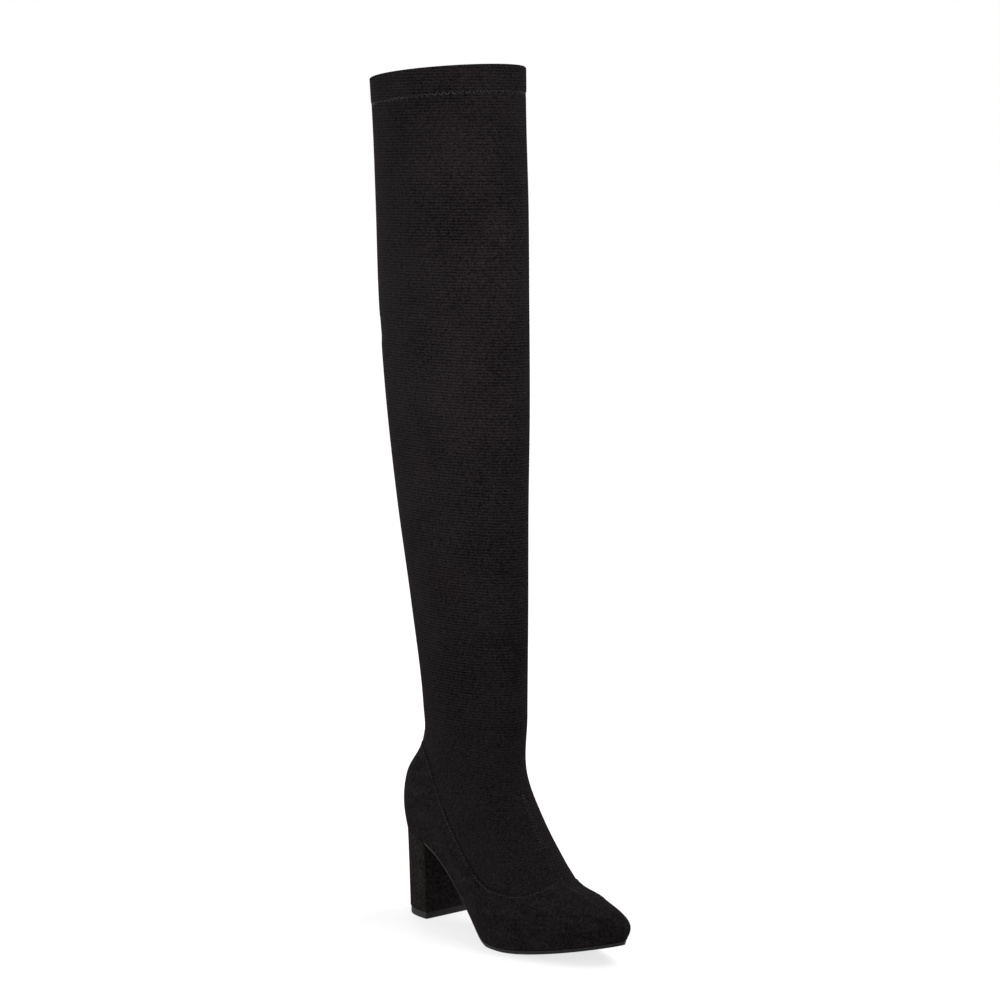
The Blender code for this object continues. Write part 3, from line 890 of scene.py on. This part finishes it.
def stitch_tree(name, finish):
    """One small rounded stitch on each point, laid along its way and pressed against the cloth."""
    tree = bpy.data.node_groups.new(name, "GeometryNodeTree")
    for label, kind in (("Points", "Geometry"), ("Thread", "Float"), ("Seed", "Int")):
        tree.interface.new_socket(label, in_out="INPUT", socket_type="NodeSocket" + kind)
    tree.interface.new_socket("Stitches", in_out="OUTPUT", socket_type="NodeSocketGeometry")

    def node(kind, settings=None, links=None):
        made = tree.nodes.new(kind)
        for key, value in (settings or {}).items():
            setattr(made, key, value)
        for key, value in (links or {}).items():
            if isinstance(value, bpy.types.NodeSocket):
                tree.links.new(value, made.inputs[key])
            else:
                made.inputs[key].default_value = value
        return made

    given = node("NodeGroupInput")
    way = node("GeometryNodeInputNamedAttribute", {"data_type": "FLOAT_VECTOR"}, {"Name": "way"})
    facing = node("GeometryNodeInputNamedAttribute", {"data_type": "FLOAT_VECTOR"}, {"Name": "facing"})
    length = node("ShaderNodeVectorMath", {"operation": "LENGTH"}, {0: way.outputs["Attribute"]})
    along = node(
        "FunctionNodeAlignRotationToVector", {"axis": "Z"}, {"Vector": way.outputs["Attribute"]}
    )
    laid = node(
        "FunctionNodeAlignRotationToVector",
        {"axis": "X", "pivot_axis": "Z"},
        {"Rotation": along.outputs[0], "Vector": facing.outputs["Attribute"]},
    )
    jitter = node(
        "FunctionNodeRandomValue",
        {"data_type": "FLOAT"},
        {"Min": 0.85, "Max": 1.12, "Seed": given.outputs["Seed"]},
    )
    width = node(
        "ShaderNodeMath", {"operation": "MULTIPLY"}, {0: given.outputs["Thread"], 1: jitter.outputs[1]}
    )
    flat = node("ShaderNodeMath", {"operation": "MULTIPLY"}, {0: width.outputs[0], 1: 0.75})
    size = node(
        "ShaderNodeCombineXYZ",
        {},
        {"X": flat.outputs[0], "Y": width.outputs[0], "Z": length.outputs["Value"]},
    )
    grain = node("GeometryNodeMeshUVSphere", {}, {"Segments": 6, "Rings": 5, "Radius": 0.5})
    laid_on = node(
        "GeometryNodeInstanceOnPoints",
        {},
        {
            "Points": given.outputs["Points"],
            "Instance": grain.outputs["Mesh"],
            "Rotation": laid.outputs[0],
            "Scale": size.outputs[0],
        },
    )
    real = node("GeometryNodeRealizeInstances", {}, {"Geometry": laid_on.outputs[0]})
    soft = node("GeometryNodeSetShadeSmooth", {}, {"Geometry": real.outputs[0]})
    worn = node("GeometryNodeSetMaterial", {}, {"Geometry": soft.outputs[0], "Material": finish})
    node("NodeGroupOutput", {}, {0: worn.outputs[0]})
    return tree


def lay_stitches(name, tree, runs, thread, seed):
    """Makes one piece of all the stitches of these runs."""
    middles, ways, facings = (np.concatenate(part) for part in zip(*runs))
    mesh = bpy.data.meshes.new(name)
    mesh.from_pydata((middles + 0.25 * thread * facings).tolist(), [], [])
    for label, values in (("way", ways), ("facing", facings)):
        layer = mesh.attributes.new(label, "FLOAT_VECTOR", "POINT")
        layer.data.foreach_set("vector", np.ascontiguousarray(values, np.float32).ravel())
    points = bpy.data.objects.new(name + "_points", mesh)
    bpy.context.scene.collection.objects.link(points)
    modifier = points.modifiers.new("stitches", "NODES")
    modifier.node_group = tree
    given = {"Thread": thread, "Seed": seed}
    for item in tree.interface.items_tree:
        if item.in_out == "INPUT" and item.name in given:
            modifier[item.identifier] = given[item.name]
    bpy.context.view_layer.update()
    graph = bpy.context.evaluated_depsgraph_get()
    made = bpy.data.meshes.new_from_object(points.evaluated_get(graph))
    made.name = name
    bpy.data.objects.remove(points, do_unlink=True)
    piece = bpy.data.objects.new(name, made)
    bpy.context.scene.collection.objects.link(piece)
    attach(piece, "root")
    return piece


def hem_run(leg):
    turns = np.linspace(0, 1, 721)
    points, normals = leg.at(turns, leg.row_at(turns, leg.full_length(turns) - HEM_HEIGHT))
    up = np.array((0.0, 0.0, 1.0))
    return zigzag_stitches(points, normals, up, HEM_STITCH_WAY, HEM_STITCH_RISE / 2)


def foot_seam_run(panel):
    turns = np.linspace(0, 1, 961)
    far = panel.full_length(turns) - SEAM_STITCH_IN
    points, normals = panel.at(turns, panel.row_at(turns, far))
    return straight_stitches(points, normals, SEAM_STITCH, SEAM_STITCH_SHARE)


def back_seam_run(leg):
    heights = np.linspace(BACK_ROW_START, BACK_ROW_END, 600)
    line = np.interp(heights, [p.height for p in BACK_SEAM], [p.turn for p in BACK_SEAM])
    points, normals = leg.at(line, leg.row_at_height(line, heights))
    across = np.array((-1.0, 0.0, 0.0))
    return zigzag_stitches(points, normals, across, BACK_STITCH_WAY, BACK_STITCH_RISE / 2)


def fine_stitches(surface, turn, row):
    points, normals = surface.at(turn, row)
    return straight_stitches(points, normals, FINE_STITCH, FINE_STITCH_SHARE)


def front_seam_runs(leg):
    """Two fine rows either side of the front line, up the instep from the foot seam."""
    heights = np.linspace(FRONT_ROW_START, FRONT_ROW_END, 210)
    runs = []
    for side in (-1, 1):
        turn = FRONT_LINE + side * FRONT_ROW_TURN + 0 * heights
        runs.append(fine_stitches(leg, turn, leg.row_at_height(turn, heights)))
    return runs


def toe_seam_run(panel):
    """The front seam's row along the toe's ridge, ending before the tip."""
    share = np.linspace(0.42, 0.97, 200)
    turn = toe_ridge(share)
    return fine_stitches(panel, turn, panel.row_at(turn, share * panel.full_length(turn)))


def counter_seam_run(panel):
    """The back seam's row down the counter, from the foot seam to the heel."""
    share = np.linspace(0.10, 0.95, 200)
    turn = np.full(len(share), BACK_SEAM[0].turn % 1)
    return fine_stitches(panel, turn, panel.row_at(turn, share * panel.full_length(turn)))


class Value:
    """A shader socket that can be added, multiplied and so on; each sum adds its Math node."""

    def __init__(self, finish, socket):
        self.finish, self.socket = finish, socket

    def math(self, operation, *others):
        inputs = {index: value for index, value in enumerate((self, *others))}
        return self.finish.node("ShaderNodeMath", {"operation": operation}, inputs)

    def __add__(self, other):
        return self.math("ADD", other)

    __radd__ = __add__

    def __mul__(self, other):
        return self.math("MULTIPLY", other)

    __rmul__ = __mul__

    def __sub__(self, other):
        return self.math("SUBTRACT", other)


class Finish:
    """A material under construction, with one way to add any node."""

    def __init__(self, name, **constants):
        self.material = bpy.data.materials.new(name)
        self.material.use_nodes = True
        self.tree = self.material.node_tree
        self.shader = self.tree.nodes["Principled BSDF"]
        for label, value in constants.items():
            self.shader.inputs[label.replace("_", " ")].default_value = value

    def node(self, kind, settings=None, inputs=None, output=0):
        made = self.tree.nodes.new(kind)
        for key, value in (settings or {}).items():
            setattr(made, key, value)
        for key, value in (inputs or {}).items():
            self.feed(made.inputs[key], value)
        return Value(self, made.outputs[output])

    def feed(self, socket, value):
        if isinstance(value, Value):
            self.tree.links.new(value.socket, socket)
        else:
            socket.default_value = value

    def set(self, label, value):
        self.feed(self.shader.inputs[label], value)

    def place(self):
        return self.node("ShaderNodeTexCoord", output="Object")

    def cloth(self):
        """Metres round the leg and metres up it."""
        both = self.node("ShaderNodeUVMap", {"uv_map": "cloth"})
        return (
            self.node("ShaderNodeSeparateXYZ", inputs={0: both}, output="X"),
            self.node("ShaderNodeSeparateXYZ", inputs={0: both}, output="Y"),
        )

    def noise(self, size, detail=2.0, roughness=0.5, stretch=(1, 1, 1)):
        """Soft noise from 0 to 1 with grains of about this size in metres."""
        where = self.node(
            "ShaderNodeMapping", inputs={"Vector": self.place(), "Scale": [s / size for s in stretch]}
        )
        inputs = {"Vector": where, "Scale": 1.0, "Detail": detail, "Roughness": roughness}
        return self.node("ShaderNodeTexNoise", {"noise_dimensions": "3D"}, inputs)

    def blend(self, share, first, second):
        made = self.tree.nodes.new("ShaderNodeMix")
        made.data_type = "RGBA"
        self.feed(made.inputs[0], share)
        self.feed(made.inputs[6], (*first, 1))
        self.feed(made.inputs[7], (*second, 1))
        return Value(self, made.outputs[2])

    def relief(self, height, distance, strength=1.0, under=None):
        inputs = {"Height": height, "Distance": distance, "Strength": strength}
        if under is not None:
            inputs["Normal"] = under
        return self.node("ShaderNodeBump", inputs=inputs)


def ribbed_cloth(name, dye):
    """Matte stretch cloth: fine ribs round the leg with a painted highlight on their crests, short knit
    stitches in them, soft uneven dye, and painted light that makes the ankle and instep paler.
    """
    finish = Finish(name, **CLOTH_GLOSS)
    across, along = finish.cloth()
    height = finish.node("ShaderNodeSeparateXYZ", inputs={0: finish.place()}, output="Z")
    leg = finish.node("ShaderNodeClamp", inputs={"Value": (height - 0.10) * 10.0})
    drift = finish.noise(0.012, 1.0) * 0.35
    wave = (along * (2 * math.pi / RIB_PITCH) + drift * 3.0).math("SINE")
    rib = wave * 0.5 + 0.5
    knit = (across * (2 * math.pi / KNIT_PITCH) + wave * 0.8).math("SINE") * 0.5 + 0.5
    fuzz = finish.noise(0.0009, 3.0, 0.65)
    speckle = finish.noise(0.0024, 2.0, 0.6)
    patch = finish.noise(0.045, 2.0)
    dashes = finish.noise(0.0015, 1.0, 0.5, (1.0, 1.0, 2.6))
    # Rib stripes in the colour: partly the knit's own pattern, partly a painted highlight on the ribs'
    # crests.
    rib_stripes_and_highlight = (rib - 0.5) * (leg * 0.22 + 0.10)
    grain = (dashes - 0.5) * 1.4 + (speckle - 0.5) * 0.75 + (fuzz - 0.5) * 0.65
    # Below 0.2 m the cloth is painted paler: painted light on the ankle and instep.
    tone = rib_stripes_and_highlight + (knit - 0.5) * 0.10 + grain + (patch - 0.5) * 0.4 + 0.52 - leg * 0.13
    share = finish.node("ShaderNodeClamp", inputs={"Value": tone})
    finish.set("Base Color", finish.blend(share, *dye))
    finish.set("Roughness", 0.68 + 0.14 * speckle)
    ribs = finish.relief(rib * (leg * 0.55 + 0.20) + 0.25 * knit + 0.9 * dashes, 0.00022, 0.8)
    finish.set("Normal", finish.relief(fuzz, 0.00016, 0.55, ribs))
    return finish.material


def napped_cloth(name, dye):
    """The foot panel's and heel's denser cloth: a short matte nap, rubbed here and there."""
    finish = Finish(name, **CLOTH_GLOSS)
    nap = finish.noise(0.0008, 4.0, 0.7)
    speckle = finish.noise(0.0021, 3.0, 0.65)
    rubbed = finish.noise(0.020, 3.0, 0.55, (1.0, 1.0, 2.2))
    tone = (nap - 0.5) * 1.5 + (speckle - 0.5) * 1.9 + (rubbed - 0.5) * 0.7 + 0.42
    share = finish.node("ShaderNodeClamp", inputs={"Value": tone})
    finish.set("Base Color", finish.blend(share, *dye))
    finish.set("Roughness", 0.76 + 0.18 * rubbed)
    coarse = finish.relief(speckle, 0.00022, 0.5)
    finish.set("Normal", finish.relief(nap, 0.00018, 0.6, coarse))
    return finish.material


def lining_cloth():
    finish = Finish("knit_lining", Sheen_Weight=0.01, Sheen_Roughness=0.5, Specular_IOR_Level=0.02)
    across, along = finish.cloth()
    rib = (along * (2 * math.pi / RIB_PITCH)).math("SINE") * 0.5 + 0.5
    speckle = finish.noise(0.0022, 3.0, 0.6)
    share = finish.node("ShaderNodeClamp", inputs={"Value": rib * 0.4 + speckle * 0.9 - 0.3})
    finish.set("Base Color", finish.blend(share, *LINING_DYE))
    finish.set("Roughness", 0.80 + 0.15 * speckle)
    finish.set("Normal", finish.relief(rib + speckle, 0.0002, 0.6))
    return finish.material


def sole_rubber():
    """Dark smooth sole with faint scuffs drawn along it."""
    finish = Finish("sole_rubber", Specular_IOR_Level=0.18)
    scuff = finish.noise(0.004, 4.0, 0.7, (2.5, 0.35, 1.0))
    grain = finish.noise(0.0007, 3.0, 0.6)
    share = finish.node("ShaderNodeClamp", inputs={"Value": scuff * 1.6 - 0.35})
    finish.set("Base Color", finish.blend(share, *SOLE_DYE))
    finish.set("Roughness", 0.36 + 0.28 * scuff)
    finish.set("Normal", finish.relief(grain + scuff, 0.00008, 0.5))
    return finish.material


def lift_rubber():
    finish = Finish("lift_rubber", Specular_IOR_Level=0.15)
    grain = finish.noise(0.0006, 3.0, 0.7)
    scuff = finish.noise(0.003, 3.0, 0.6, (1.0, 1.0, 3.0))
    share = finish.node("ShaderNodeClamp", inputs={"Value": scuff * 1.3 + grain * 0.5 - 0.5})
    finish.set("Base Color", finish.blend(share, *LIFT_DYE))
    finish.set("Roughness", 0.50 + 0.22 * scuff)
    finish.set("Normal", finish.relief(grain, 0.00008, 0.6))
    return finish.material


def sock_cloth():
    finish = Finish("sock_cloth", Sheen_Weight=0.15, Specular_IOR_Level=0.2)
    grain = finish.noise(0.0012, 3.0, 0.65)
    share = finish.node("ShaderNodeClamp", inputs={"Value": grain * 1.6 - 0.4})
    finish.set("Base Color", finish.blend(share, *SOCK_DYE))
    finish.set("Roughness", 0.78 + 0.14 * grain)
    finish.set("Normal", finish.relief(grain, 0.00015, 0.6))
    return finish.material


def thread(name, dye):
    """Spun thread with a slight gloss, darker and paler by turns along its row."""
    finish = Finish(name, Sheen_Weight=0.01, Sheen_Roughness=0.4, Specular_IOR_Level=0.12)
    ply = finish.noise(0.0005, 2.0, 0.5)
    worn = finish.noise(0.011, 2.0, 0.6)
    share = finish.node("ShaderNodeClamp", inputs={"Value": ply * 0.8 + worn * 2.4 - 1.05})
    finish.set("Base Color", finish.blend(share, *dye))
    finish.set("Roughness", 0.55 + 0.2 * ply)
    finish.set("Normal", finish.relief(ply, 0.0001, 0.5))
    return finish.material


def floor_paper():
    """White paper on a light table, so that shadows on it stay faint."""
    finish = Finish("floor_paper", Specular_IOR_Level=0.1, Emission_Strength=FLOOR_GLOW)
    grain = finish.noise(0.05, 2.0)
    pale = (FLOOR_TONE, FLOOR_TONE, FLOOR_TONE)
    finish.set("Base Color", finish.blend(0.03 * grain, pale, (1.0, 1.0, 1.0)))
    finish.set("Roughness", 0.9 + 0.05 * grain)
    return finish.material


def set_stage():
    ways = ((-1, -1), (1, -1), (1, 1), (-1, 1))
    corners = [(x * FLOOR_HALF, y * FLOOR_HALF, -FLOOR_DROP) for x, y in ways]
    floor = add_mesh("floor", corners, [(0, 1, 2, 3)], (floor_paper(),))
    world = bpy.data.worlds.new("pale_studio")
    world.use_nodes = True
    world.node_tree.nodes["Background"].inputs["Color"].default_value = (1, 1, 1, 1)
    world.node_tree.nodes["Background"].inputs["Strength"].default_value = SKY
    bpy.context.scene.world = world
    bpy.context.scene.view_settings.view_transform = "Standard"
    sun = bpy.data.lights.new("top_light", "SUN")
    sun.energy = TOP_LIGHT
    sun.angle = math.radians(TOP_LIGHT_SOFTNESS)
    above = bpy.data.objects.new("top_light", sun)
    above.rotation_euler = Euler((math.radians(TOP_LIGHT_TILT), 0, math.radians(TOP_LIGHT_TURN)))
    bpy.context.scene.collection.objects.link(above)
    for box in SOFT_BOXES:
        light = bpy.data.lights.new(box.name, "AREA")
        light.size = box.size
        light.energy = box.power
        light.spread = math.radians(box.spread)
        lamp = bpy.data.objects.new(box.name, light)
        lamp.location = Vector(box.place)
        way = Vector(box.aim) - lamp.location
        lamp.rotation_euler = way.to_track_quat("-Z", "Y").to_euler()
        lamp.visible_camera = False
        bpy.context.scene.collection.objects.link(lamp)


def set_camera():
    """The photo's viewpoint, turned so that the one boot is in the middle."""
    camera = bpy.data.cameras.new("camera")
    camera.lens = CAMERA_LENS
    camera.sensor_width = CAMERA_SENSOR
    view = bpy.data.objects.new("camera", camera)
    view.location = Vector(CAMERA_PLACE)
    view.rotation_euler = Euler((math.radians(90 - CAMERA_DOWN), 0, -math.radians(CAMERA_TURN)))
    bpy.context.scene.collection.objects.link(view)
    bpy.context.scene.camera = view


def main():
    set_camera()
    set_stage()
    levels = skin_levels()
    rows = flow(levels[0] + levels[1], FOOT_SPLITS + INSTEP_SPLITS + LEG_SPLITS)
    normals = outward_normals(rows)
    seam = sum(FOOT_SPLITS)
    lining = lining_cloth()
    shaft_cloth = ribbed_cloth("ribbed_stretch", SHAFT_DYE)
    foot_cloth = napped_cloth("napped_stretch", FOOT_DYE)
    panel = Surface(*make_panel(rows, normals, seam, foot_cloth, lining))
    leg = Surface(*make_leg(rows, normals, seam, shaft_cloth, lining))
    make_sole(sole_rubber())
    make_heel(napped_cloth("heel_cover", HEEL_DYE))
    make_top_lift(lift_rubber())
    make_sock(sock_cloth())
    pale = thread("hem_thread", HEM_THREAD_DYE)
    dim = thread("seam_thread", SEAM_THREAD_DYE)
    pale_tree, dim_tree = stitch_tree("hem stitches", pale), stitch_tree("seam stitches", dim)
    lay_stitches("hem_zigzag", pale_tree, [hem_run(leg)], THREAD, 3)
    lay_stitches("back_seam_zigzag", dim_tree, [back_seam_run(leg)], 0.8 * THREAD, 5)
    lay_stitches("front_seam_rows", dim_tree, front_seam_runs(leg), 0.8 * THREAD, 7)
    lay_stitches("toe_seam_row", dim_tree, [toe_seam_run(panel)], 0.7 * THREAD, 13)
    lay_stitches("counter_seam_row", dim_tree, [counter_seam_run(panel)], 0.7 * THREAD, 17)
    lay_stitches("foot_seam_row", dim_tree, [foot_seam_run(panel)], 0.9 * THREAD, 11)


main()
